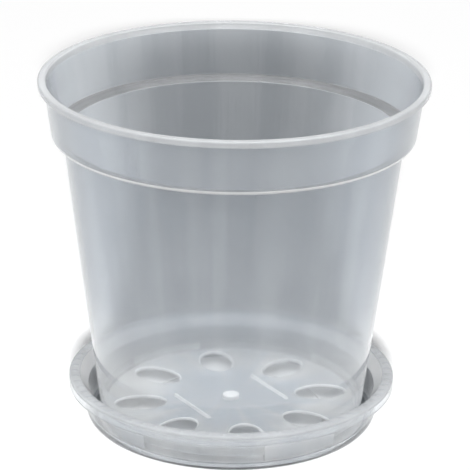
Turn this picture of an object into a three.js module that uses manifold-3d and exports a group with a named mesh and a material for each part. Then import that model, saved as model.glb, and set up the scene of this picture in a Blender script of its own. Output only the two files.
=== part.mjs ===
// Clear orchid pot standing in its saucer: two separate mouldings, and the pot lifts straight out.
// Millimetres, +Z up. The origin is the centre of the saucer's underside, on the surface it stands on.
import * as THREE from 'three';
import { mergeVertices } from 'three/addons/utils/BufferGeometryUtils.js';
import Module from 'manifold-3d';

const wasm = await Module();
wasm.setup();

// Facets: around a turned form, in a quarter round of a profile, and around a drain hole
const TURN_STEPS = 72;
const QUARTER_STEPS = 4;
const HOLE_STEPS = 24;

// Pot: rim, collar, shoulder and tapered wall
const POT_HEIGHT = 137.3;
const POT_WALL = 1.0;
const RIM_RADIUS = 75;
const RIM_OVERHANG = 2.5; // rim beyond the top of the collar
const RIM_DEPTH = 2.7;
const RIM_ROUND = 0.8;
const COLLAR_HEIGHT = 20.6; // top of the rim to the shoulder's round
const COLLAR_TAPER = 2.5; // radius that the collar loses on its way down
const SHOULDER_STEP = 4.5; // collar's foot to the top of the tapered wall
const SHOULDER_INNER_ROUND = 0.9;
const FOOT_RADIUS = 51.1; // outside of the skirt, where it stands

// Pot: raised floor with its drain holes, and the skirt below it cut into feet
const FLOOR_RISE = 4.9; // foot to the floor's upper face
const FLOOR_THICKNESS = 1.2;
const FLOOR_FILLET = 2.0;
const HOLE_COUNT = 8;
const HOLE_LENGTH = 20; // along the radius
const HOLE_WIDTH = 13;
const HOLE_EDGE = 4.7; // floor left between a hole and the wall
const HOLE_TURN = 10; // degrees from +X to the first hole
const FOOT_COUNT = 4;
const FOOT_ANGLE = 36; // degrees of skirt left standing at each foot
const NOTCH_WEB = 0.7; // skirt left between the floor and the notch under it

// Pot: gate peg, ring and bars on the floor, and the nubs over the notches
const PEG_RADIUS = 3.25;
const PEG_RISE = 1.3; // above the floor
const PEG_LIFT = 0.4; // peg's lower end above the feet
const RING_INSET = 3.7; // inner end of the holes to the ring's outer face
const RING_WIDTH = 1.2;
const RING_DROP = 2.3;
const BAR_COUNT = 2;
const BAR_SAG = 4.3; // ring's outer face in to the middle of a bar
const BAR_WIDTH = 1.5;
const BAR_RISE = 0.8;
const NUB_WIDTH = 2.4;
const NUB_HEIGHT = 2.5;
const NUB_RISE = 0.6;

// Saucer: floor, standing ring and wall
const SEAT_GAP = 0.3; // saucer's floor to the pot's feet
const MOAT = 4.7; // pot's foot to the saucer's wall
const SAUCER_HEIGHT = 18.7;
const SAUCER_WALL = 1.2;
const SAUCER_FLOOR = 1.2;
const SAUCER_INNER_FILLET = 3.5;
const SAUCER_DRAFT = 0.3; // radius that the wall gains on its way up
const STAND_RISE = 0.6; // underside of the floor above the standing ring
const STAND_WIDTH = 3.0;
const CATCH_INSET = 13.5; // pot's foot in to the low ring on the saucer's floor
const CATCH_WIDTH = 1.2;
const CATCH_RISE = 0.6;

// Saucer: flat ribbed lip, its funnel slope and its turned-down edge
const LIP_REACH = 6.8; // lip beyond the wall
const LIP_FLAT = 4.3;
const LIP_SLOPE = 4.2; // height of the funnel between wall and lip
const LIP_EDGE = 4.0; // height of the turned-down edge
const LIP_ROUND = 0.8;
const RIB_COUNT = 72;
const RIB_LENGTH = 3.0;
const RIB_WIDTH = 2.4;
const RIB_RISE = 0.4;
const RIB_CHAMFER = 0.4;

// How far a joined piece sinks into its neighbour, and a cutter runs past the face it cuts
const JOIN = 0.4;
const VERTEX_TOLERANCE = 1e-4;

const QUARTER = Math.PI / 2;
const HALF = Math.PI;
const FULL = 2 * Math.PI;

// Pot heights are counted from its feet, saucer heights from the surface that it stands on
const floorUnder = FLOOR_RISE - FLOOR_THICKNESS;
const shoulderRound = SHOULDER_INNER_ROUND + POT_WALL;
const shoulderUnder = POT_HEIGHT - COLLAR_HEIGHT - shoulderRound;
const collarTopRadius = RIM_RADIUS - RIM_OVERHANG;
const collarFootRadius = collarTopRadius - COLLAR_TAPER;
const wallTopRadius = collarFootRadius - SHOULDER_STEP;
const holeEnd = wallRadius(FLOOR_RISE) - POT_WALL - HOLE_EDGE;
const ringRadius = holeEnd - HOLE_LENGTH - RING_INSET;
const footTurn = THREE.MathUtils.degToRad(HOLE_TURN) + HALF / HOLE_COUNT;
const saucerFloorTop = STAND_RISE + SAUCER_FLOOR;
const saucerInside = FOOT_RADIUS + MOAT;
const saucerOutside = saucerInside + SAUCER_WALL;
const lipTop = SAUCER_HEIGHT - RIB_RISE;
const lipRadius = saucerOutside + LIP_REACH;

// Outside radius of the tapered wall at a height above the feet
function wallRadius(height) {
  return FOOT_RADIUS + (wallTopRadius - FOOT_RADIUS) * height / shoulderUnder;
}

// Closed geometry to a solid: only positions are kept, and triangles that collapse on the axis are left out
function solid(geometry) {
  geometry.deleteAttribute('normal');
  geometry.deleteAttribute('uv');
  const merged = mergeVertices(geometry, VERTEX_TOLERANCE);
  const index = merged.index.array;
  const triangles = [];
  for (let i = 0; i < index.length; i += 3) {
    const [a, b, c] = index.slice(i, i + 3);
    if (a !== b && b !== c && c !== a) {
      triangles.push(a, b, c);
    }
  }
  return new wasm.Manifold(new wasm.Mesh({
    numProp: 3,
    vertProperties: Float32Array.from(merged.attributes.position.array),
    triVerts: Uint32Array.from(triangles),
  }));
}

// Solid back to a geometry
function geometryOf(body) {
  const mesh = body.getMesh();
  const geometry = new THREE.BufferGeometry();
  geometry.setAttribute('position', new THREE.BufferAttribute(mesh.vertProperties, 3));
  geometry.setIndex(new THREE.BufferAttribute(mesh.triVerts, 1));
  geometry.computeVertexNormals();
  return geometry;
}

// Profile of radius and height turned about Z: it runs from the axis out below and back to the axis above
function turned(profile) {
  const lathe = new THREE.LatheGeometry(profile.getPoints(QUARTER_STEPS / 2), TURN_STEPS);
  lathe.rotateX(QUARTER);
  return solid(lathe);
}

// Flat shape raised to a height from a base
function raised(shape, base, height, curveSegments = HOLE_STEPS) {
  const geometry = new THREE.ExtrudeGeometry(shape, { depth: height, bevelEnabled: false, curveSegments });
  geometry.translate(0, 0, base);
  return geometry;
}

// One solid made from copies of a geometry, evenly spaced about Z
function around(geometry, count, firstTurn) {
  const copies = [];
  for (let i = 0; i < count; i += 1) {
    copies.push(solid(geometry.clone().rotateZ(firstTurn + i * FULL / count)));
  }
  return copies.reduce((all, copy) => all.add(copy));
}

// Section of the pot: peg, ring, skirt, wall, shoulder, collar and rim, then back down the inside to the floor
function potProfile() {
  const rimUnder = POT_HEIGHT - RIM_DEPTH;
  const shoulderCentre = [collarFootRadius - shoulderRound, shoulderUnder + shoulderRound];
  const filletTop = FLOOR_RISE + FLOOR_FILLET;
  const path = new THREE.Path();
  path.moveTo(0, PEG_LIFT);
  path.lineTo(PEG_RADIUS, PEG_LIFT);
  path.lineTo(PEG_RADIUS, floorUnder);
  path.lineTo(ringRadius - RING_WIDTH, floorUnder);
  path.lineTo(ringRadius - RING_WIDTH, floorUnder - RING_DROP);
  path.lineTo(ringRadius, floorUnder - RING_DROP);
  path.lineTo(ringRadius, floorUnder);
  path.lineTo(wallRadius(floorUnder) - POT_WALL, floorUnder);
  path.lineTo(FOOT_RADIUS - POT_WALL, 0);
  path.lineTo(FOOT_RADIUS, 0);
  path.lineTo(wallTopRadius, shoulderUnder);
  path.absarc(...shoulderCentre, shoulderRound, -QUARTER, 0);
  path.lineTo(collarTopRadius, rimUnder);
  path.absarc(RIM_RADIUS - RIM_ROUND, rimUnder + RIM_ROUND, RIM_ROUND, -QUARTER, 0);
  path.absarc(RIM_RADIUS - RIM_ROUND, POT_HEIGHT - RIM_ROUND, RIM_ROUND, 0, QUARTER);
  path.absarc(collarTopRadius - POT_WALL + RIM_ROUND, POT_HEIGHT - RIM_ROUND, RIM_ROUND, QUARTER, HALF);
  path.absarc(...shoulderCentre, SHOULDER_INNER_ROUND, 0, -QUARTER, true);
  path.lineTo(wallTopRadius - POT_WALL, shoulderUnder + POT_WALL);
  path.absarc(wallRadius(filletTop) - POT_WALL - FLOOR_FILLET, filletTop, FLOOR_FILLET, 0, -QUARTER, true);
  path.lineTo(PEG_RADIUS, FLOOR_RISE);
  path.lineTo(PEG_RADIUS, FLOOR_RISE + PEG_RISE);
  path.lineTo(0, FLOOR_RISE + PEG_RISE);
  return path;
}

// Oval drain holes through the floor, their long axes along the radius
function drainHoles() {
  const oval = new THREE.Shape();
  oval.absellipse(holeEnd - HOLE_LENGTH / 2, 0, HOLE_LENGTH / 2, HOLE_WIDTH / 2, 0, FULL);
  const cutter = raised(oval, floorUnder - JOIN, FLOOR_THICKNESS + 2 * JOIN, HOLE_STEPS / 2);
  return around(cutter, HOLE_COUNT, THREE.MathUtils.degToRad(HOLE_TURN));
}

// Notches that cut the skirt into feet and let the water run out into the saucer
function skirtNotches() {
  const halfAngle = HALF / FOOT_COUNT - THREE.MathUtils.degToRad(FOOT_ANGLE / 2);
  const sector = new THREE.Shape();
  sector.absarc(0, 0, wallRadius(floorUnder) + JOIN, -halfAngle, halfAngle);
  sector.absarc(0, 0, FOOT_RADIUS - POT_WALL - JOIN, halfAngle, -halfAngle, true);
  const cutter = raised(sector, -JOIN, floorUnder - NOTCH_WEB + JOIN);
  return around(cutter, FOOT_COUNT, footTurn + HALF / FOOT_COUNT);
}

// Straight bars on the floor, chords of the ring below it
function floorBars() {
  const offset = ringRadius - BAR_SAG;
  const length = 2 * Math.sqrt(ringRadius ** 2 - offset ** 2);
  const bar = new THREE.BoxGeometry(BAR_WIDTH, length, BAR_RISE + JOIN);
  bar.translate(offset, 0, FLOOR_RISE + (BAR_RISE - JOIN) / 2);
  return around(bar, BAR_COUNT, footTurn);
}

// Small nubs on the outside of the wall, over the middle of each notch
function wallNubs() {
  const inner = wallRadius(floorUnder) - POT_WALL / 2;
  const outer = wallRadius(floorUnder + NUB_HEIGHT) + NUB_RISE;
  const nub = new THREE.BoxGeometry(outer - inner, NUB_WIDTH, NUB_HEIGHT);
  nub.translate((inner + outer) / 2, 0, floorUnder + NUB_HEIGHT / 2);
  return around(nub, FOOT_COUNT, footTurn + HALF / FOOT_COUNT);
}

function pot() {
  const body = turned(potProfile())
    .subtract(drainHoles())
    .subtract(skirtNotches())
    .add(floorBars())
    .add(wallNubs());
  return geometryOf(body);
}

// Section of the saucer: standing ring, rounded corner, wall, slope and lip, then back down the inside to the floor
function saucerProfile() {
  const fillet = SAUCER_INNER_FILLET + SAUCER_WALL;
  const standRadius = saucerOutside - fillet;
  const slopeFoot = lipTop - LIP_SLOPE;
  const lipInside = lipRadius - LIP_FLAT;
  const catchRadius = FOOT_RADIUS - CATCH_INSET;
  const path = new THREE.Path();
  path.moveTo(0, STAND_RISE);
  path.lineTo(standRadius - STAND_WIDTH, STAND_RISE);
  path.lineTo(standRadius - STAND_WIDTH, 0);
  path.absarc(standRadius, fillet, fillet, -QUARTER, 0);
  path.lineTo(saucerOutside + SAUCER_DRAFT, slopeFoot - SAUCER_WALL / 2);
  path.lineTo(lipInside + SAUCER_WALL / 2, lipTop - SAUCER_WALL);
  path.lineTo(lipRadius - SAUCER_WALL, lipTop - SAUCER_WALL);
  path.lineTo(lipRadius - SAUCER_WALL, lipTop - LIP_EDGE);
  path.lineTo(lipRadius, lipTop - LIP_EDGE);
  path.absarc(lipRadius - LIP_ROUND, lipTop - LIP_ROUND, LIP_ROUND, 0, QUARTER);
  path.lineTo(lipInside, lipTop);
  path.lineTo(saucerInside + SAUCER_DRAFT, slopeFoot);
  path.absarc(
    saucerInside - SAUCER_INNER_FILLET,
    saucerFloorTop + SAUCER_INNER_FILLET,
    SAUCER_INNER_FILLET,
    0,
    -QUARTER,
    true,
  );
  path.lineTo(catchRadius, saucerFloorTop);
  path.lineTo(catchRadius, saucerFloorTop + CATCH_RISE);
  path.lineTo(catchRadius - CATCH_WIDTH, saucerFloorTop + CATCH_RISE);
  path.lineTo(catchRadius - CATCH_WIDTH, saucerFloorTop);
  path.lineTo(0, saucerFloorTop);
  return path;
}

// Low ribs across the flat of the lip, each in the middle of a facet
function lipRibs() {
  const half = RIB_WIDTH / 2;
  const section = new THREE.Shape();
  section.moveTo(-half, -JOIN);
  section.lineTo(half, -JOIN);
  section.lineTo(half, 0);
  section.lineTo(half - RIB_CHAMFER, RIB_RISE);
  section.lineTo(RIB_CHAMFER - half, RIB_RISE);
  section.lineTo(-half, 0);
  const rib = raised(section, lipRadius - LIP_ROUND - RIB_LENGTH, RIB_LENGTH);
  const lieAlongX = new THREE.Matrix4().makeBasis(
    new THREE.Vector3(0, 1, 0),
    new THREE.Vector3(0, 0, 1),
    new THREE.Vector3(1, 0, 0),
  );
  rib.applyMatrix4(lieAlongX);
  rib.translate(0, 0, lipTop);
  return around(rib, RIB_COUNT, HALF / TURN_STEPS);
}

function saucer() {
  return geometryOf(turned(saucerProfile()).add(lipRibs()));
}

// Milky clear polypropylene, a little bluer in the pot
function clearPlastic(color) {
  return new THREE.MeshStandardMaterial({ color, roughness: 0.25, metalness: 0, transparent: true, opacity: 0.4 });
}

function piece(name, geometry, material, height) {
  const mesh = new THREE.Mesh(geometry, material);
  mesh.name = name;
  mesh.position.z = height;
  return mesh;
}

const orchidPot = new THREE.Group();
orchidPot.add(piece('saucer', saucer(), clearPlastic(0xb4b9bd), 0));
orchidPot.add(piece('pot', pot(), clearPlastic(0xb0b7be), saucerFloorTop + SEAT_GAP));

export default orchidPot;
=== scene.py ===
"""Clear orchid pot standing in its saucer: the looks of the two mouldings, their floor, light and camera."""

import math

import bmesh
import bpy
import numpy as np
from mathutils import Matrix, Vector


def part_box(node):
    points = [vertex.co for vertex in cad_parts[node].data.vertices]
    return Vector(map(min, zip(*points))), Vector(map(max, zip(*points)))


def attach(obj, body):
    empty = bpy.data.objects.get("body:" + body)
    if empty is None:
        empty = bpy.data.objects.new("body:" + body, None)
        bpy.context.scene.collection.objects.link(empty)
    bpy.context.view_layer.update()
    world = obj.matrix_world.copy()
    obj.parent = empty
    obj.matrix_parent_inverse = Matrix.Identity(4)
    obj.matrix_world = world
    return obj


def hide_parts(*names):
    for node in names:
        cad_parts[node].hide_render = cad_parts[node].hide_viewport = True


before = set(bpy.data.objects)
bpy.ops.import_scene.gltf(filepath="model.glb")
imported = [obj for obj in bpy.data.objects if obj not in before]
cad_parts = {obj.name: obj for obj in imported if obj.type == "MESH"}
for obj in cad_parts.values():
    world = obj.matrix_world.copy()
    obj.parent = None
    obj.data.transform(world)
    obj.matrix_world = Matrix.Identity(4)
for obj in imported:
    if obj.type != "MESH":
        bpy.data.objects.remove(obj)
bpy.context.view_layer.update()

MM = 0.001

# Overall sizes, read from the frame
POT_LOW, POT_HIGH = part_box("pot")
SAUCER_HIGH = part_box("saucer")[1]
RIM_RADIUS = POT_HIGH.x
POT_HEIGHT = POT_HIGH.z - POT_LOW.z
LIP_RADIUS = SAUCER_HIGH.x
SAUCER_HEIGHT = SAUCER_HIGH.z

# Pot: rim, collar, shoulder and tapered wall
POT_WALL = 1.0 * MM
RIM_OVERHANG = 2.5 * MM
RIM_DEPTH = 2.7 * MM
RIM_ROUND = 0.8 * MM
COLLAR_HEIGHT = 20.6 * MM
COLLAR_TAPER = 2.5 * MM
SHOULDER_STEP = 4.5 * MM
SHOULDER_INNER_ROUND = 0.9 * MM
# Height of the band over the shoulder's foot whose outer faces carry a painted highlight
SHOULDER_GLEAM = 1.4 * MM
FOOT_RADIUS = 51.1 * MM
LEDGE_ROUND = 1.0 * MM
EDGE_ROUND = 0.3 * MM
CREASE_ROUND = 0.4 * MM

# Pot: raised floor with its drain holes, and the skirt below it cut into feet
FLOOR_RISE = 4.9 * MM
FLOOR_THICKNESS = 1.2 * MM
FLOOR_FILLET = 2.0 * MM
HOLE_COUNT = 8
HOLE_LENGTH = 20 * MM
HOLE_WIDTH = 13 * MM
HOLE_EDGE = 4.7 * MM
HOLE_ROUND = 0.55 * MM
HOLE_TURN = math.radians(10)
PLATE_MARGIN = 2.4 * MM
SKIRT_HEIGHT = 7.0 * MM
FOOT_COUNT = 4
FOOT_ANGLE = math.radians(36)
NOTCH_HEIGHT = 3.0 * MM
NOTCH_SQUEEZE = 3.4 * MM
NOTCH_EDGE = math.radians(0.2)

# Pot: gate peg, ring and bars on the floor, and the nubs over the notches
PEG_RADIUS = 3.25 * MM
PEG_RISE = 1.3 * MM
PEG_LIFT = 0.4 * MM
RING_INSET = 3.7 * MM
RING_WIDTH = 1.2 * MM
RING_DROP = 2.3 * MM
BAR_COUNT = 2
BAR_SAG = 4.3 * MM
BAR_WIDTH = 1.5 * MM
BAR_RISE = 0.8 * MM
NUB_WIDTH = 2.4 * MM
NUB_HEIGHT = 2.5 * MM
NUB_RISE = 0.6 * MM

# Saucer: floor, standing ring and wall
MOAT = 4.7 * MM
SAUCER_WALL = 1.2 * MM
SAUCER_FLOOR = 1.2 * MM
SAUCER_INNER_FILLET = 3.5 * MM
SAUCER_DRAFT = 0.3 * MM
STAND_RISE = 0.6 * MM
STAND_WIDTH = 3.0 * MM
CATCH_INSET = 13.5 * MM
CATCH_WIDTH = 1.2 * MM
CATCH_RISE = 0.6 * MM

# Saucer: flat ribbed lip, its funnel slope and its turned-down edge
LIP_FLAT = 4.3 * MM
LIP_SLOPE = 4.2 * MM
LIP_EDGE = 4.0 * MM
LIP_ROUND = 0.8 * MM
SLOPE_ROUND = 1.2 * MM
RIB_COUNT = 72
RIB_LENGTH = 3.0 * MM
RIB_WIDTH = 2.4 * MM
RIB_RISE = 0.4 * MM
RIB_SOFTNESS = 1.1 * MM

# Fineness of the meshes
SECTOR_STEPS = 42
SIDE_STEPS = 14
SKIRT_ROWS = 9
PLATE_RINGS = 6
DISC_STEP = 0.35 * MM
RIB_STEPS = 10
RIB_ROWS = 12
ROUND_STEPS = 6
MERGE_DISTANCE = 0.0005 * MM
SHARP_ANGLE = math.radians(38)

FULL_TURN = 2 * math.pi

# Places of the plastics in a piece's list of materials; the saucer has the first four, and in the fourth
# place, which holds the pot's painted glow, it has its corner darkened as painted shade
WALL, FLOOR, THICK, PAINTED_GLOW_AND_SHADE, PAINTED_GLEAM, SHADED_LEDGE, LIT_RIM_INSIDE, LIT_COLLAR, SHADED_COLLAR_INSIDE, BAR = range(10)

# Bounds that tell which way a face looks, as shares of its normal, and which part it belongs to
INWARD = -0.7
DOWNWARD = -0.2
UPWARD = 0.1
SLOPE_UPWARD = 0.2
LIP_TILT = 0.05
WALL_BAND = 1.5 * POT_WALL
FACE_TOLERANCE = EDGE_ROUND / 10

# Heights on the pot count from its feet, heights on the saucer from the surface it stands on
FLOOR_UNDER = FLOOR_RISE - FLOOR_THICKNESS
SHOULDER_ROUND = SHOULDER_INNER_ROUND + POT_WALL
SHOULDER_UNDER = POT_HEIGHT - COLLAR_HEIGHT - SHOULDER_ROUND
RIM_UNDER = POT_HEIGHT - RIM_DEPTH
COLLAR_TOP_RADIUS = RIM_RADIUS - RIM_OVERHANG
COLLAR_FOOT_RADIUS = COLLAR_TOP_RADIUS - COLLAR_TAPER
WALL_TOP_RADIUS = COLLAR_FOOT_RADIUS - SHOULDER_STEP
WALL_LEAN = (WALL_TOP_RADIUS - FOOT_RADIUS) / SHOULDER_UNDER
HOLE_END = FOOT_RADIUS + WALL_LEAN * FLOOR_RISE - POT_WALL - HOLE_EDGE
HOLE_CENTRE = HOLE_END - HOLE_LENGTH / 2
RING_RADIUS = HOLE_END - HOLE_LENGTH - RING_INSET
PLATE_OUTSIDE = HOLE_END + PLATE_MARGIN
PLATE_INSIDE = HOLE_END - HOLE_LENGTH - RING_INSET / 2
FOOT_TURN = HOLE_TURN + math.pi / HOLE_COUNT
SAUCER_INSIDE = FOOT_RADIUS + MOAT
SAUCER_OUTSIDE = SAUCER_INSIDE + SAUCER_WALL
SAUCER_FLOOR_TOP = STAND_RISE + SAUCER_FLOOR
LIP_TOP = SAUCER_HEIGHT - RIB_RISE

# Plastics: share of light that passes, and colours where clear and where milky
POT_TRANSMISSION = 0.85
COLLAR_TRANSMISSION = 0.80
COLLAR_INSIDE_TRANSMISSION = 0.93
POT_FLOOR_TRANSMISSION = 0.60
RIM_TRANSMISSION = 0.50
GLOW_TRANSMISSION = 0.10
# Painted highlight on the shoulder's crease, and a weaker painted glow on the notches between the feet
GLEAM_TRANSMISSION = 0.50
BAR_TRANSMISSION = 0.25
LEDGE_TRANSMISSION = 0.75
SAUCER_TRANSMISSION = 0.86
# The saucer's floor and slope in near-white plastic, a painted light where the pot shades them
SAUCER_FLOOR_TRANSMISSION = 0.30
LIP_TRANSMISSION = 0.50
POT_TINT = (0.70, 0.735, 0.775, 1)
POT_HAZE = (0.78, 0.815, 0.85, 1)
# The collar's outer face in a lighter copy and its inner face in a darker copy of the wall's plastic:
# painted light and painted shade
COLLAR_LIT_TINT = (0.77, 0.805, 0.845, 1)
COLLAR_LIT_HAZE = (0.84, 0.875, 0.91, 1)
COLLAR_INSIDE_SHADED_TINT = (0.64, 0.675, 0.715, 1)
COLLAR_INSIDE_SHADED_HAZE = (0.72, 0.755, 0.79, 1)
# Paler colour towards the foot of the wall: painted light that lifts the shade the lower wall lies in
FOOT_PAINTED_LIGHT = (0.94, 0.955, 0.97, 1)
RIM_TINT = (0.65, 0.665, 0.68, 1)
RIM_HAZE = (0.70, 0.715, 0.73, 1)
# The rim's inner face in a lighter copy of the rim's plastic: painted light
RIM_INSIDE_LIT_TINT = (0.80, 0.815, 0.83, 1)
RIM_INSIDE_LIT_HAZE = (0.84, 0.855, 0.87, 1)
LIP_TINT = (0.69, 0.71, 0.73, 1)
LIP_HAZE = (0.74, 0.76, 0.78, 1)
# Near-white painted glow and highlight: the pot's feet, hole edges, peg, ring, shoulder crease and notches,
# and the saucer's floor and slope
GLOW_TINT = (0.95, 0.955, 0.96, 1)
GLOW_HAZE = (0.98, 0.98, 0.98, 1)
BAR_TINT = (0.86, 0.87, 0.88, 1)
BAR_HAZE = (0.90, 0.91, 0.92, 1)
FLOOR_TINT = (0.66, 0.715, 0.77, 1)
FLOOR_HAZE = (0.86, 0.865, 0.86, 1)
# Painted shade: the ledge inside the shoulder, facing up, darkened against the light it catches from above
SHADED_LEDGE_TINT = (0.31, 0.32, 0.33, 1)
SHADED_LEDGE_HAZE = (0.35, 0.36, 0.37, 1)
SAUCER_TINT = (0.88, 0.905, 0.93, 1)
SAUCER_HAZE = (0.95, 0.965, 0.98, 1)
# Painted shade: the saucer's underside, standing ring and moat floor darkened where it meets the floor
SHADED_CORNER_TINT = (0.26, 0.29, 0.32, 1)
SHADED_CORNER_HAZE = (0.34, 0.37, 0.40, 1)
PLASTIC_IOR = 1.49

# Plastics: where they are milky, by flow lines, bands and patches, and by radius, and where paler towards
# the foot as a painted light
FLOW_LINES = 60.0
FLOW_DRIFT = 12.0
FLOW_DETAIL = 3.0
FLOW_SHARE = 0.5
BANDS = 5.0
BAND_DRIFT = 3.0
BAND_DETAIL = 1.0
BAND_RANGE = (0.38, 0.62)
BAND_SHARE = 0.5
HAZE_SCALE = 45.0
HAZE_DETAIL = 4.0
HAZE_RANGE = (0.35, 0.65)
HAZE_SHARE = 0.5
FLOOR_HUB = (RING_RADIUS, HOLE_CENTRE)
HUB_SHARE = 0.5
BASE_TO = 22 * MM
BASE_FROM = 60 * MM

# Plastics: gloss, scuffs and fine relief, more matte towards the rim
SMOOTHEST = 0.03
ROUGHEST = 0.05
GLOSS_RANGE = (0.3, 0.7)
SCUFF_STRETCH = (500.0, 120.0, 900.0)
SCUFF_DETAIL = 5.0
SCUFF_RANGE = (0.55, 0.75)
SCUFF_ROUGHNESS = 0.03
MATTE_FROM = 30 * MM
MATTE_TO = 110 * MM
MATTE_ROUGHNESS = 0.13
GRAIN_SCALE = 900.0
FLOW_RELIEF = 0.6
GRAIN_RELIEF = 0.15
RELIEF_STRENGTH = 0.15
RELIEF_DEPTH = 0.05 * MM

# Stage: pale floor and soft light
FLOOR_SIZE = 4.0
FLOOR_SEGMENTS = 96
FLOOR_MOTTLE = 3.0
FLOOR_PALE = (0.93, 0.93, 0.93, 1)
FLOOR_PALER = (0.95, 0.95, 0.95, 1)
AMBIENT_LEVEL = 0.18
SEEN_LEVEL = 0.50
TOP_LIGHT_HEIGHT = 1.5
TOP_LIGHT_FORWARD = 0.2
TOP_LIGHT_SIZE = 1.6
TOP_LIGHT_POWER = 34.0
FILL_LIGHT_DISTANCE = 2.0
FILL_LIGHT_ELEVATION = math.radians(40)
FILL_LIGHT_SIZE = 1.5
FILL_LIGHT_POWER = 15.0
FILL_LIGHT_ASIDE = math.radians(60)
FLOOR_LIGHT_DISTANCE = 30.0
FLOOR_LIGHT_ELEVATION = math.radians(17.4)
FLOOR_LIGHT_WIDTH = math.radians(7.5)
FLOOR_LIGHT_HEIGHT = math.radians(0.8)
FLOOR_LIGHT_POWER = 27300.0

# Camera: a long lens, a little above the object, rolled by less than a degree
FOCAL_LENGTH = 235.9
SENSOR_WIDTH = 36.0
CAMERA_DISTANCE = 1193.97 * MM
CAMERA_ELEVATION = math.radians(20.906)
CAMERA_ROLL = math.radians(0.693)
CAMERA_TARGET = Vector((0.856 * MM, 0.0, 75.29 * MM))


class Skin:
    """Grids of quads gathered into one closed mesh."""

    def __init__(self):
        self.points = []
        self.faces = []
        self.count = 0

    def _add(self, points):
        start = self.count
        self.points.append(points)
        self.count += len(points)
        return start

    def grid(self, rows):
        """Rows of points, each row closed round, joined row to row by quads."""
        height, width = rows.shape[:2]
        start = self._add(rows.reshape(-1, 3))
        index = start + np.arange(height * width).reshape(height, width)
        beside = np.roll(index, -1, axis=1)
        quads = np.stack([index[:-1], beside[:-1], beside[1:], index[1:]], axis=-1)
        self.faces.extend(quads.reshape(-1, 4).tolist())

    def cap(self, ring):
        """A fan that closes a flat ring about the axis."""
        centre = np.array([[0.0, 0.0, ring[0, 2]]])
        start = self._add(np.concatenate([ring, centre]))
        width = len(ring)
        for i in range(width):
            self.faces.append([start + i, start + (i + 1) % width, start + width])

    def piece(self, name, finish):
        """The mesh as an object: merged seams, outward faces, even normals, and a plastic for each face."""
        mesh = bpy.data.meshes.new(name)
        mesh.from_pydata(np.concatenate(self.points).tolist(), [], self.faces)
        bm = bmesh.new()
        bm.from_mesh(mesh)
        bmesh.ops.remove_doubles(bm, verts=bm.verts, dist=MERGE_DISTANCE)
        bmesh.ops.recalc_face_normals(bm, faces=bm.faces)
        for face in bm.faces:
            face.smooth = True
        for edge in bm.edges:
            edge.smooth = edge.calc_face_angle(0.0) < SHARP_ANGLE
        bm.to_mesh(mesh)
        bm.free()
        for polygon in mesh.polygons:
            polygon.material_index = finish(polygon)
        piece = bpy.data.objects.new(name, mesh)
        bpy.context.scene.collection.objects.link(piece)
        normals = piece.modifiers.new("even_normals", "WEIGHTED_NORMAL")
        normals.keep_sharp = True
        return piece


def rounded(corners):
    """Profile of (radius, height) points from corners of (radius, height, round)."""
    points = []
    for i, (radius, height, round_radius) in enumerate(corners):
        corner = np.array([radius, height])
        if not round_radius:
            points.append(corner)
            continue
        before = np.array(corners[i - 1][:2]) - corner
        after = np.array(corners[i + 1][:2]) - corner
        before /= np.linalg.norm(before)
        after /= np.linalg.norm(after)
        half = math.acos(np.clip(before @ after, -1, 1)) / 2
        middle = (before + after) / np.linalg.norm(before + after)
        centre = corner + middle * round_radius / math.sin(half)
        sweep = math.pi / 2 - half
        for t in np.linspace(-sweep, sweep, ROUND_STEPS + 1):
            along = (after - before) / np.linalg.norm(after - before)
            points.append(centre + round_radius * (along * math.sin(t) - middle * math.cos(t)))
    return np.array(points)


def turned(profile, turns):
    """Rows of points from a profile, one row for each profile point, one column for each turn."""
    radius, height = profile[:, :1], profile[:, 1:]
    return np.stack(np.broadcast_arrays(radius * np.cos(turns), radius * np.sin(turns), height), axis=-1)


def polar(rows):
    """Radius, turn and height of points."""
    return np.hypot(rows[..., 0], rows[..., 1]), np.arctan2(rows[..., 1], rows[..., 0]), rows[..., 2]


def from_polar(radius, turn, height):
    """Points of given radius, turn and height."""
    return np.stack([radius * np.cos(turn), radius * np.sin(turn), height], axis=-1)


def plateau(distance, width, softness):
    """1 within a width, falling smoothly to 0 over the softness at either side."""
    t = np.clip((width / 2 - np.abs(distance)) / softness, 0, 1)
    return t * t * (3 - 2 * t)


def nearest_turn(turn, count, first):
    """Angle to the nearest of evenly spaced turns."""
    pitch = FULL_TURN / count
    return (turn - first + pitch / 2) % pitch - pitch / 2


def column_turns():
    """Turns of the pot's columns, with a pair drawn close at each side of every foot."""
    count = HOLE_COUNT * SECTOR_STEPS
    first = HOLE_TURN - math.pi / HOLE_COUNT
    turns = first + np.arange(count) * FULL_TURN / count
    for foot in range(FOOT_COUNT):
        for side in (-1, 1):
            edge = FOOT_TURN + foot * FULL_TURN / FOOT_COUNT + side * FOOT_ANGLE / 2
            below = int((edge - first) % FULL_TURN / (FULL_TURN / count))
            turns[below] = edge - NOTCH_EDGE
            turns[(below + 1) % count] = edge + NOTCH_EDGE
    return turns


def wall_radius(height):
    """Outer radius of the tapered wall."""
    return FOOT_RADIUS + WALL_LEAN * height


def collar_radius(height):
    """Outer radius of the collar."""
    lean = COLLAR_TAPER / (RIM_UNDER - SHOULDER_UNDER - SHOULDER_ROUND)
    return COLLAR_TOP_RADIUS - lean * (RIM_UNDER - height)


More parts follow.
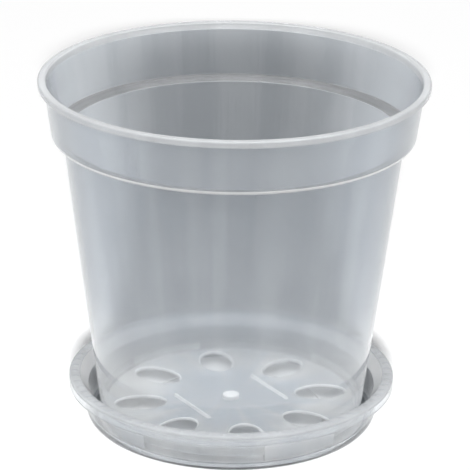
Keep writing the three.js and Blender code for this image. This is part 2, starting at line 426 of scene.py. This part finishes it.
def shell_profile():
    """From the floor's edge up the inside, over the rim, down the outside and under the skirt."""
    ledge = SHOULDER_UNDER + POT_WALL
    skirt_rows = np.linspace(NOTCH_SQUEEZE, FLOOR_UNDER + NUB_HEIGHT + 2 * EDGE_ROUND, SKIRT_ROWS)
    wall_rows = [(wall_radius(h), h, 0) for h in skirt_rows[::-1]]
    return rounded([
        (PLATE_OUTSIDE, FLOOR_RISE, 0),
        (wall_radius(FLOOR_RISE) - POT_WALL, FLOOR_RISE, FLOOR_FILLET),
        (wall_radius(ledge) - POT_WALL, ledge, LEDGE_ROUND),
        (collar_radius(ledge) - POT_WALL, ledge, SHOULDER_INNER_ROUND),
        (collar_radius(RIM_UNDER) - POT_WALL, RIM_UNDER, 0),
        (collar_radius(POT_HEIGHT) - POT_WALL, POT_HEIGHT, RIM_ROUND),
        (RIM_RADIUS, POT_HEIGHT, RIM_ROUND),
        (RIM_RADIUS, RIM_UNDER, RIM_ROUND),
        (collar_radius(RIM_UNDER), RIM_UNDER, CREASE_ROUND),
        (collar_radius(SHOULDER_UNDER), SHOULDER_UNDER, SHOULDER_ROUND),
        (WALL_TOP_RADIUS, SHOULDER_UNDER, CREASE_ROUND),
        *wall_rows,
        (FOOT_RADIUS, 0, EDGE_ROUND),
        (FOOT_RADIUS - POT_WALL, 0, EDGE_ROUND),
        (wall_radius(NOTCH_SQUEEZE) - POT_WALL, NOTCH_SQUEEZE, 0),
        (wall_radius(FLOOR_UNDER) - POT_WALL, FLOOR_UNDER, EDGE_ROUND / 3),
        (PLATE_OUTSIDE, FLOOR_UNDER, 0),
    ])


def with_notches_and_nubs(rows):
    """Skirt raised between the feet, and a nub on the outside over the middle of each notch."""
    radius, turn, height = polar(rows)
    from_foot = nearest_turn(turn, FOOT_COUNT, FOOT_TURN)
    edge = np.where(np.abs(from_foot) > FOOT_ANGLE / 2, NOTCH_HEIGHT, 0)
    squeezed = edge + height / NOTCH_SQUEEZE * (NOTCH_SQUEEZE - edge)
    raised = np.where(height < NOTCH_SQUEEZE, squeezed, height)
    radius = radius + WALL_LEAN * (raised - height)
    across = nearest_turn(turn, FOOT_COUNT, FOOT_TURN + math.pi / FOOT_COUNT) * radius
    above = raised - FLOOR_UNDER - NUB_HEIGHT / 2
    outside = radius > wall_radius(raised) - POT_WALL / 2
    nub = plateau(across, NUB_WIDTH, NUB_WIDTH / 3) * plateau(above, NUB_HEIGHT, EDGE_ROUND)
    return from_polar(radius + NUB_RISE * nub * outside, turn, raised)


def sector_border(turns):
    """Closed border of the floor round one drain hole: outer arc, side, inner arc and side."""
    radii = np.linspace(PLATE_OUTSIDE, PLATE_INSIDE, SIDE_STEPS + 1)
    outer = [(PLATE_OUTSIDE, t) for t in turns]
    far_side = [(r, turns[-1]) for r in radii[1:]]
    inner = [(PLATE_INSIDE, t) for t in turns[-2::-1]]
    near_side = [(r, turns[0]) for r in radii[-2:0:-1]]
    border = np.array(outer + far_side + inner + near_side)
    return np.stack([border[:, 0] * np.cos(border[:, 1]), border[:, 0] * np.sin(border[:, 1])], axis=-1)


def drain_hole(skin, turns, turn):
    """Floor of one sector, above and below, and the rounded edge of its oval hole."""
    border = sector_border(turns)
    along = np.array([math.cos(turn), math.sin(turn)])
    across = np.array([-along[1], along[0]])
    middle = HOLE_CENTRE * along
    half_length, half_width = HOLE_LENGTH / 2, HOLE_WIDTH / 2
    aim = np.arctan2((border - middle) @ across / half_width, (border - middle) @ along / half_length)

    def oval(grow):
        reach = np.outer(np.cos(aim) * (half_length + grow), along)
        return middle + reach + np.outer(np.sin(aim) * (half_width + grow), across)

    def level(flat, height):
        return np.column_stack([flat, np.full(len(flat), height)])

    shares = np.linspace(0, 1, PLATE_RINGS + 1)
    plate = [border + (oval(HOLE_ROUND) - border) * share for share in shares]
    quarter = np.linspace(0, math.pi / 2, ROUND_STEPS + 1)
    grow = HOLE_ROUND * (1 - np.sin(quarter))
    dip = HOLE_ROUND * (1 - np.cos(quarter))
    top = [level(flat, FLOOR_RISE) for flat in plate[:-1]]
    top_round = [level(oval(g), FLOOR_RISE - d) for g, d in zip(grow, dip)]
    low_round = [level(oval(g), FLOOR_UNDER + d) for g, d in zip(grow[::-1], dip[::-1])]
    low = [level(flat, FLOOR_UNDER) for flat in plate[-2::-1]]
    skin.grid(np.array(top + top_round + low_round + low))


def disc_above(turns):
    """Middle of the floor with its bars, up over the gate peg."""
    steps = int((PLATE_INSIDE - PEG_RADIUS - EDGE_ROUND) / DISC_STEP)
    radii = np.linspace(PLATE_INSIDE, PEG_RADIUS + EDGE_ROUND, steps + 1)
    flat = turned(np.column_stack([radii, np.full(steps + 1, FLOOR_RISE)]), turns)
    offset = RING_RADIUS - BAR_SAG
    length = 2 * math.sqrt(RING_RADIUS ** 2 - offset ** 2)
    radius, turn, height = polar(flat)
    from_bar = nearest_turn(turn, BAR_COUNT, FOOT_TURN)
    bar = plateau(radius * np.cos(from_bar) - offset, BAR_WIDTH, CREASE_ROUND)
    bar = bar * plateau(radius * np.sin(from_bar), length, CREASE_ROUND)
    flat[..., 2] = height + BAR_RISE * bar
    peg = turned(rounded([
        (PEG_RADIUS + EDGE_ROUND, FLOOR_RISE, 0),
        (PEG_RADIUS, FLOOR_RISE, EDGE_ROUND / 2),
        (PEG_RADIUS, FLOOR_RISE + PEG_RISE, EDGE_ROUND),
        (PEG_RADIUS / 3, FLOOR_RISE + PEG_RISE, 0),
    ]), turns)
    return np.concatenate([flat, peg[1:]])


def disc_below(turns):
    """Middle of the floor from below, with its ring and the peg's lower end."""
    ring_inside = RING_RADIUS - RING_WIDTH
    ring_end = FLOOR_UNDER - RING_DROP
    return turned(rounded([
        (PLATE_INSIDE, FLOOR_UNDER, 0),
        (RING_RADIUS, FLOOR_UNDER, EDGE_ROUND),
        (RING_RADIUS, ring_end, EDGE_ROUND),
        (ring_inside, ring_end, EDGE_ROUND),
        (ring_inside, FLOOR_UNDER, EDGE_ROUND),
        (PEG_RADIUS, FLOOR_UNDER, EDGE_ROUND),
        (PEG_RADIUS, PEG_LIFT, EDGE_ROUND),
        (PEG_RADIUS / 3, PEG_LIFT, 0),
    ]), turns)


def skirt_finish(reach, turn):
    """Plastic of the skirt and of what hangs under the floor: feet, ring and peg in a near-white painted
    glow, notches in a weaker painted glow.
    """
    in_foot = abs(nearest_turn(turn, FOOT_COUNT, FOOT_TURN)) < FOOT_ANGLE / 2
    return PAINTED_GLOW_AND_SHADE if in_foot or reach < PLATE_INSIDE else PAINTED_GLEAM


def pot_finish(polygon):
    """Place of the plastic of one of the pot's faces."""
    centre, normal = polygon.center, polygon.normal
    height = centre.z
    reach = math.hypot(centre.x, centre.y)
    outward = (normal.x * centre.x + normal.y * centre.y) / reach
    if height > RIM_UNDER:
        # the rim's inner face gets the lighter painted copy
        return LIT_RIM_INSIDE if outward < INWARD else THICK
    on_skirt = height < SKIRT_HEIGHT and reach > wall_radius(height) - POT_WALL / 2
    if on_skirt or height < NOTCH_SQUEEZE:
        return skirt_finish(reach, math.atan2(centre.y, centre.x))
    if SHOULDER_UNDER - CREASE_ROUND < height < SHOULDER_UNDER + SHOULDER_ROUND:
        # the shoulder's outer foot and its underside carry a painted highlight
        gleams = outward > 0 and height < SHOULDER_UNDER + SHOULDER_GLEAM
        if gleams or normal.z < DOWNWARD:
            return PAINTED_GLEAM
        # the upward face of the ledge gets a painted shade
        return SHADED_LEDGE if normal.z > UPWARD else WALL
    if height > SHOULDER_UNDER:
        # lighter painted copy outside, darker painted copy inside
        return LIT_COLLAR if outward > 0 else SHADED_COLLAR_INSIDE
    in_wall = reach > min(PLATE_OUTSIDE, wall_radius(height) - WALL_BAND)
    if in_wall or height > FLOOR_RISE + FLOOR_FILLET:
        return WALL
    if min(abs(height - FLOOR_RISE), abs(height - FLOOR_UNDER)) < FACE_TOLERANCE:
        return FLOOR
    on_bar = height > FLOOR_RISE and PEG_RADIUS + EDGE_ROUND < reach < PLATE_INSIDE
    # hole edges, the peg and the ring under the floor get the near-white painted glow
    return BAR if on_bar else PAINTED_GLOW_AND_SHADE


def make_pot():
    skin = Skin()
    turns = column_turns()
    skin.grid(with_notches_and_nubs(turned(shell_profile(), turns)))
    for hole in range(HOLE_COUNT):
        columns = np.arange(hole * SECTOR_STEPS, (hole + 1) * SECTOR_STEPS + 1)
        drain_hole(skin, turns[columns % len(turns)], HOLE_TURN + hole * FULL_TURN / HOLE_COUNT)
    for disc in (disc_above(turns), disc_below(turns)):
        skin.grid(disc)
        skin.cap(disc[-1])
    pot = skin.piece("clear_pot", pot_finish)
    pot.data.transform(Matrix.Translation((0, 0, POT_LOW.z)))
    return pot


def saucer_profile():
    """From the middle of the underside over the standing ring, up the wall to the lip, and back inside."""
    fillet = SAUCER_INNER_FILLET + SAUCER_WALL
    stand_inside = SAUCER_OUTSIDE - fillet - STAND_WIDTH
    slope_foot = LIP_TOP - LIP_SLOPE
    lip_inside = LIP_RADIUS - LIP_FLAT
    lip_under = LIP_TOP - SAUCER_WALL
    catch_outside = FOOT_RADIUS - CATCH_INSET
    catch_inside = catch_outside - CATCH_WIDTH
    catch_top = SAUCER_FLOOR_TOP + CATCH_RISE
    rib_outside = LIP_RADIUS - LIP_ROUND
    rib_rows = np.linspace(rib_outside, rib_outside - RIB_LENGTH, RIB_ROWS)
    return rounded([
        (PEG_RADIUS, STAND_RISE, 0),
        (stand_inside, STAND_RISE, EDGE_ROUND / 2),
        (stand_inside, 0, EDGE_ROUND / 2),
        (SAUCER_OUTSIDE, 0, fillet),
        (SAUCER_OUTSIDE + SAUCER_DRAFT, slope_foot - SAUCER_WALL / 2, SLOPE_ROUND),
        (lip_inside + SAUCER_WALL / 2, lip_under, CREASE_ROUND),
        (LIP_RADIUS - SAUCER_WALL, lip_under, EDGE_ROUND),
        (LIP_RADIUS - SAUCER_WALL, LIP_TOP - LIP_EDGE, EDGE_ROUND),
        (LIP_RADIUS, LIP_TOP - LIP_EDGE, EDGE_ROUND),
        (LIP_RADIUS, LIP_TOP, LIP_ROUND),
        *[(radius, LIP_TOP, 0) for radius in rib_rows[1:]],
        (lip_inside, LIP_TOP, EDGE_ROUND),
        (SAUCER_INSIDE + SAUCER_DRAFT, slope_foot, SLOPE_ROUND),
        (SAUCER_INSIDE, SAUCER_FLOOR_TOP, SAUCER_INNER_FILLET),
        (catch_outside, SAUCER_FLOOR_TOP, EDGE_ROUND / 2),
        (catch_outside, catch_top, EDGE_ROUND / 2),
        (catch_inside, catch_top, EDGE_ROUND / 2),
        (catch_inside, SAUCER_FLOOR_TOP, EDGE_ROUND / 2),
        (PEG_RADIUS, SAUCER_FLOOR_TOP, 0),
    ])


def with_ribs(rows):
    """Low ribs across the flat of the lip."""
    radius, turn, height = polar(rows)
    across = nearest_turn(turn, RIB_COUNT, math.pi / RIB_COUNT) * radius
    outward = radius - (LIP_RADIUS - LIP_ROUND - RIB_LENGTH / 2)
    rib = plateau(across, RIB_WIDTH, RIB_SOFTNESS) * plateau(outward, RIB_LENGTH, RIB_SOFTNESS)
    on_top = height > LIP_TOP - EDGE_ROUND
    return from_polar(radius, turn, height + RIB_RISE * rib * on_top)


def saucer_finish(polygon):
    """Place of the plastic of one of the saucer's faces."""
    height, tilt = polygon.center.z, polygon.normal.z
    reach = math.hypot(polygon.center.x, polygon.center.y)
    if reach > LIP_RADIUS - LIP_FLAT and abs(tilt) > LIP_TILT:
        return THICK
    on_slope = LIP_TOP - LIP_SLOPE < height < LIP_TOP - EDGE_ROUND and tilt > SLOPE_UPWARD
    # the saucer's floor and slope get the near-white painted light
    if on_slope or reach < FOOT_RADIUS - MOAT / 2:
        return FLOOR
    # the lowest faces outside the pot's feet get the darkened corner plastic, a painted shade
    return PAINTED_GLOW_AND_SHADE if height < STAND_RISE + SAUCER_INNER_FILLET / 2 else WALL


def make_saucer():
    skin = Skin()
    steps = RIB_COUNT * RIB_STEPS
    turns = (np.arange(steps) + 0.5) * FULL_TURN / steps
    rows = with_ribs(turned(saucer_profile(), turns))
    skin.grid(rows)
    skin.cap(rows[0])
    skin.cap(rows[-1])
    return skin.piece("clear_saucer", saucer_finish)


class Nodes:
    """A node tree that is filled step by step."""

    def __init__(self, owner):
        owner.use_nodes = True
        self.tree = owner.node_tree
        self.tree.nodes.clear()

    def add(self, kind, inputs=(), **settings):
        """A node with its settings; inputs are (socket, constant or linked output) pairs."""
        node = self.tree.nodes.new(kind)
        for name, value in settings.items():
            setattr(node, name, value)
        for socket, value in inputs:
            if isinstance(value, bpy.types.NodeSocket):
                self.tree.links.new(value, node.inputs[socket])
            else:
                node.inputs[socket].default_value = value
        return node

    def math(self, operation, first, second=0.0):
        return self.add("ShaderNodeMath", [(0, first), (1, second)], operation=operation).outputs[0]

    def vector(self, operation, first, second=(0.0, 0.0, 0.0)):
        node = self.add("ShaderNodeVectorMath", [(0, first), (1, second)], operation=operation)
        return node.outputs[0]

    def noise(self, vector, scale, detail=2.0):
        node = self.add("ShaderNodeTexNoise", [("Vector", vector), ("Scale", scale), ("Detail", detail)])
        return node.outputs["Fac"]

    def ramp(self, value, low, high, to_low, to_high):
        inputs = [("Value", value), (1, low), (2, high), (3, to_low), (4, to_high)]
        return self.add("ShaderNodeMapRange", inputs).outputs[0]

    def mix(self, share, first, second):
        """Colour from the first to the second; the sockets of the colour mix are 0, 6 and 7."""
        inputs = [(0, share), (6, first), (7, second)]
        return self.add("ShaderNodeMix", inputs, data_type="RGBA").outputs[2]

    def lines(self, outward, place, count, drift, detail):
        """Noise in lines up the wall, finer with the count, that drift slowly with the height."""
        around = self.vector("MULTIPLY", outward, (count, count, 0.0))
        along = self.vector("MULTIPLY", place, (0.0, 0.0, drift))
        return self.noise(self.vector("ADD", around, along), 1.0, detail)


def clear_plastic(name, clear, milky, transmission, hub=None, foot_light=None):
    """Moulded clear polypropylene: milky haze in patches, flow lines up the wall, fine scuffs, soft gloss.

    A hub is a pair of radii between which the plastic turns from clear to milky.
    The colour given for the foot is mixed in towards it, a painted light that lifts the shade of the lower
    wall.
    """
    material = bpy.data.materials.new(name)
    nodes = Nodes(material)
    place = nodes.add("ShaderNodeTexCoord").outputs["Object"]
    level_place = nodes.vector("MULTIPLY", place, (1.0, 1.0, 0.0))
    outward = nodes.vector("NORMALIZE", level_place)
    height = nodes.add("ShaderNodeSeparateXYZ", [("Vector", place)]).outputs["Z"]
    flow = nodes.lines(outward, place, FLOW_LINES, FLOW_DRIFT, FLOW_DETAIL)
    band = nodes.lines(outward, place, BANDS, BAND_DRIFT, BAND_DETAIL)
    haze = nodes.noise(place, HAZE_SCALE, HAZE_DETAIL)
    grain = nodes.noise(place, GRAIN_SCALE)
    scuff = nodes.noise(nodes.vector("MULTIPLY", place, SCUFF_STRETCH), 1.0, SCUFF_DETAIL)

    flow_share = nodes.ramp(flow, *HAZE_RANGE, 0.0, FLOW_SHARE)
    share = nodes.math("ADD", flow_share, nodes.ramp(haze, *HAZE_RANGE, 0.0, HAZE_SHARE))
    share = nodes.math("ADD", share, nodes.ramp(band, *BAND_RANGE, -BAND_SHARE, BAND_SHARE))
    if hub:
        reach = nodes.add("ShaderNodeVectorMath", [(0, level_place)], operation="LENGTH").outputs["Value"]
        share = nodes.math("ADD", share, nodes.ramp(reach, *hub, -HUB_SHARE, HUB_SHARE))
    colour = nodes.mix(share, clear, milky)
    # paler towards the foot: painted light
    if foot_light:
        colour = nodes.mix(nodes.ramp(height, BASE_TO, BASE_FROM, 1.0, 0.0), colour, foot_light)

    scuffs = nodes.ramp(scuff, *SCUFF_RANGE, 0.0, SCUFF_ROUGHNESS)
    matte = nodes.math("ADD", scuffs, nodes.ramp(height, MATTE_FROM, MATTE_TO, 0.0, MATTE_ROUGHNESS))
    roughness = nodes.math("ADD", nodes.ramp(haze, *GLOSS_RANGE, SMOOTHEST, ROUGHEST), matte)
    flow_relief = nodes.math("MULTIPLY", flow, FLOW_RELIEF)
    relief = nodes.math("ADD", flow_relief, nodes.math("MULTIPLY", grain, GRAIN_RELIEF))
    bump = nodes.add("ShaderNodeBump", [
        ("Strength", RELIEF_STRENGTH),
        ("Distance", RELIEF_DEPTH),
        ("Height", relief),
    ])
    surface = nodes.add("ShaderNodeBsdfPrincipled", [
        ("Base Color", colour),
        ("Roughness", roughness),
        ("Normal", bump.outputs[0]),
        ("Transmission Weight", transmission),
        ("IOR", PLASTIC_IOR),
    ])
    nodes.add("ShaderNodeOutputMaterial", [("Surface", surface.outputs[0])])
    return material


def pale_floor():
    """Matte white, faintly mottled."""
    material = bpy.data.materials.new("pale_floor")
    nodes = Nodes(material)
    place = nodes.add("ShaderNodeTexCoord").outputs["Object"]
    colour = nodes.mix(nodes.noise(place, FLOOR_MOTTLE), FLOOR_PALE, FLOOR_PALER)
    surface = nodes.add("ShaderNodeBsdfDiffuse", [("Color", colour)])
    nodes.add("ShaderNodeOutputMaterial", [("Surface", surface.outputs[0])])
    return material


def make_floor():
    mesh = bpy.data.meshes.new("floor")
    bm = bmesh.new()
    bmesh.ops.create_circle(bm, cap_ends=True, segments=FLOOR_SEGMENTS, radius=FLOOR_SIZE)
    bm.to_mesh(mesh)
    bm.free()
    floor = bpy.data.objects.new("floor", mesh)
    bpy.context.scene.collection.objects.link(floor)
    floor.data.materials.append(pale_floor())
    return floor


def add_lamp(name, position, lit, **settings):
    """A soft panel of light aimed at the origin that lights only the objects given."""
    light = bpy.data.lights.new(name, "AREA")
    for setting, value in settings.items():
        setattr(light, setting, value)
    lamp = bpy.data.objects.new(name, light)
    bpy.context.scene.collection.objects.link(lamp)
    lamp.location = position
    lamp.rotation_euler = (-position).to_track_quat("-Z", "Y").to_euler()
    lamp.visible_glossy = False
    receivers = bpy.data.collections.new(name + "_receivers")
    for thing in lit:
        receivers.objects.link(thing)
    lamp.light_linking.receiver_collection = receivers


def in_front(distance, elevation, aside=0.0):
    """Place before the object at a distance and an elevation, turned aside by an angle."""
    level = math.cos(elevation) * distance
    return Vector((level * math.sin(aside), -level * math.cos(aside), math.sin(elevation) * distance))


def make_world():
    """White where it is seen, directly or in the plastic, and a weak soft light everywhere."""
    world = bpy.data.worlds.new("studio")
    bpy.context.scene.world = world
    nodes = Nodes(world)
    path = nodes.add("ShaderNodeLightPath").outputs
    seen = nodes.math("MAXIMUM", path["Is Camera Ray"], path["Is Glossy Ray"])
    seen = nodes.math("MAXIMUM", seen, path["Is Transmission Ray"])
    strength = nodes.ramp(seen, 0.0, 1.0, AMBIENT_LEVEL, SEEN_LEVEL)
    surface = nodes.add("ShaderNodeBackground", [("Color", (1, 1, 1, 1)), ("Strength", strength)])
    nodes.add("ShaderNodeOutputWorld", [("Surface", surface.outputs[0])])


def make_light(floor, pieces):
    above = Vector((0, -TOP_LIGHT_FORWARD, TOP_LIGHT_HEIGHT))
    add_lamp("top_light", above, pieces, size=TOP_LIGHT_SIZE, energy=TOP_LIGHT_POWER)
    for side, aside in (("left", -FILL_LIGHT_ASIDE), ("right", FILL_LIGHT_ASIDE)):
        beside = in_front(FILL_LIGHT_DISTANCE, FILL_LIGHT_ELEVATION, aside)
        add_lamp(side + "_light", beside, pieces, size=FILL_LIGHT_SIZE, energy=FILL_LIGHT_POWER)
    before = in_front(FLOOR_LIGHT_DISTANCE, FLOOR_LIGHT_ELEVATION)
    add_lamp(
        "floor_light", before, [floor], shape="RECTANGLE", energy=FLOOR_LIGHT_POWER,
        size=FLOOR_LIGHT_DISTANCE * FLOOR_LIGHT_WIDTH, size_y=FLOOR_LIGHT_DISTANCE * FLOOR_LIGHT_HEIGHT,
    )


def make_camera():
    camera = bpy.data.cameras.new("camera")
    camera.sensor_width = SENSOR_WIDTH
    camera.lens = FOCAL_LENGTH
    viewer = bpy.data.objects.new("camera", camera)
    bpy.context.scene.collection.objects.link(viewer)
    back = Vector((0, -math.cos(CAMERA_ELEVATION), math.sin(CAMERA_ELEVATION)))
    turn = back.to_track_quat("Z", "Y").to_matrix() @ Matrix.Rotation(CAMERA_ROLL, 3, "Z")
    viewer.matrix_world = Matrix.Translation(CAMERA_TARGET + back * CAMERA_DISTANCE) @ turn.to_4x4()
    bpy.context.scene.camera = viewer


bpy.context.scene.view_settings.view_transform = "Standard"
make_camera()

POT_PLASTICS = (
    clear_plastic("pot_wall", POT_TINT, POT_HAZE, POT_TRANSMISSION, foot_light=FOOT_PAINTED_LIGHT),
    clear_plastic("pot_floor", FLOOR_TINT, FLOOR_HAZE, POT_FLOOR_TRANSMISSION, FLOOR_HUB),
    clear_plastic("pot_rim", RIM_TINT, RIM_HAZE, RIM_TRANSMISSION),
    clear_plastic("pot_painted_glow", GLOW_TINT, GLOW_HAZE, GLOW_TRANSMISSION),
    clear_plastic("pot_painted_gleam", GLOW_TINT, GLOW_HAZE, GLEAM_TRANSMISSION),
    clear_plastic("pot_ledge_painted_shade", SHADED_LEDGE_TINT, SHADED_LEDGE_HAZE, LEDGE_TRANSMISSION),
    clear_plastic("pot_rim_inside_painted_light", RIM_INSIDE_LIT_TINT, RIM_INSIDE_LIT_HAZE, RIM_TRANSMISSION),
    clear_plastic("pot_collar_painted_light", COLLAR_LIT_TINT, COLLAR_LIT_HAZE, COLLAR_TRANSMISSION),
    clear_plastic("pot_collar_inside_painted_shade", COLLAR_INSIDE_SHADED_TINT, COLLAR_INSIDE_SHADED_HAZE, COLLAR_INSIDE_TRANSMISSION),
    clear_plastic("pot_bar", BAR_TINT, BAR_HAZE, BAR_TRANSMISSION),
)
SAUCER_PLASTICS = (
    clear_plastic("saucer_wall", SAUCER_TINT, SAUCER_HAZE, SAUCER_TRANSMISSION),
    clear_plastic("saucer_floor_painted_light", GLOW_TINT, GLOW_HAZE, SAUCER_FLOOR_TRANSMISSION),
    clear_plastic("saucer_lip", LIP_TINT, LIP_HAZE, LIP_TRANSMISSION),
    clear_plastic("saucer_corner_painted_shade", SHADED_CORNER_TINT, SHADED_CORNER_HAZE, SAUCER_TRANSMISSION),
)
POT = make_pot()
SAUCER = make_saucer()
make_world()
make_light(make_floor(), [POT, SAUCER])
for piece, body, plastics in ((POT, "pot", POT_PLASTICS), (SAUCER, "saucer", SAUCER_PLASTICS)):
    for plastic in plastics:
        piece.data.materials.append(plastic)
    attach(piece, body)
    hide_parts(body)
